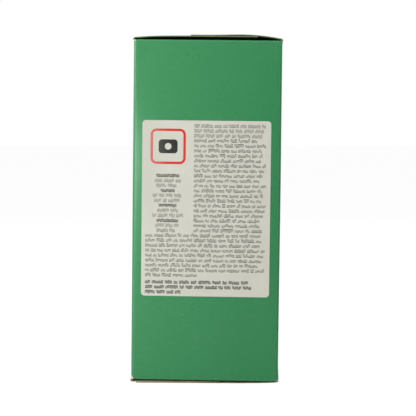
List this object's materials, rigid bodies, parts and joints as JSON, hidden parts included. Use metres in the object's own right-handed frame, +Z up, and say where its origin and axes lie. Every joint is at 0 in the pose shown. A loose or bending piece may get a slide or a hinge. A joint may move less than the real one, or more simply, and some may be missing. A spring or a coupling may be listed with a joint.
{
  "type": "sealed folding carton for dishwasher tablets",
  "caption": "Upright sealed folding carton for dishwasher tablets, with overlapping glued end flaps and a pale printed field on one narrow side.",
  "frame": {"origin": "middle of the standing carton's box, on the surface that it stands on", "axes": "+Z up, -Y out of the narrow panel with the printed field, +X to the right when facing that panel"},
  "size_m": [0.0776, 0.1102, 0.1762],
  "materials": {
    "printed_board": "green print under a satin varnish, bare grey-brown board at cut edges",
    "pale_ink": "pale grey print under a satin varnish",
    "red_ink": "red print under a satin varnish",
    "dark_ink": "dark grey print under a satin varnish",
    "grey_ink": "grey print under a satin varnish"
  },
  "bodies": {
    "root": {"carton": "printed_board", "pale_field_print": "pale_ink", "symbol_frame_print": "red_ink", "symbol_tablet_print": "dark_ink", "plain_line_print": "grey_ink", "bold_line_print": "dark_ink"}
  },
  "joints": []
}
